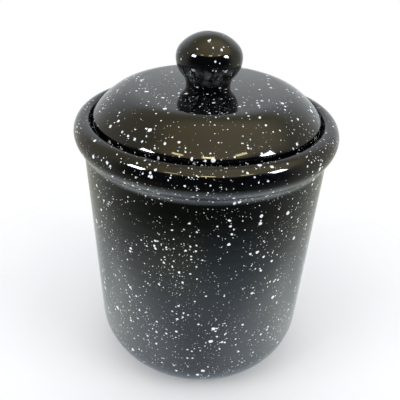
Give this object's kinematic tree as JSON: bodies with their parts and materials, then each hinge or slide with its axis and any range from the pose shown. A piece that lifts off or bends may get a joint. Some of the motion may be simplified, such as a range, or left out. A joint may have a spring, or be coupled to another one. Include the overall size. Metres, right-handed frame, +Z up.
{
  "type": "canister",
  "caption": "Round glazed stoneware canister with a rolled rim and a flat-crowned domed lid that drops inside it; the lid, with its ball knob and soft seal, lifts off and turns on its seat.",
  "frame": {"origin": "on the table, under the middle of the jar", "axes": "+Z up, along the axis that every piece is turned about; X and Y are free, because the object is round"},
  "size_m": [0.13, 0.13, 0.1835],
  "materials": {
    "speckled_glaze": "gloss black glaze splashed with fine white specks",
    "seal_silicone": "soft satin, slightly cloudy"
  },
  "bodies": {
    "jar": {"jar": "speckled_glaze"},
    "seal": {"seal_ring": "seal_silicone"},
    "lid": {"lid": "speckled_glaze", "knob": "speckled_glaze"}
  },
  "joints": [
    {"name": "lid_lift", "type": "slide", "parent": "jar", "child": "seal", "axis": [0, 0, 1], "range_m": [0, 0.1]},
    {"name": "lid_turn", "type": "hinge", "parent": "seal", "child": "lid", "pos_m": [0, 0, 0.1414], "axis": [0, 0, 1], "continuous": true}
  ]
}
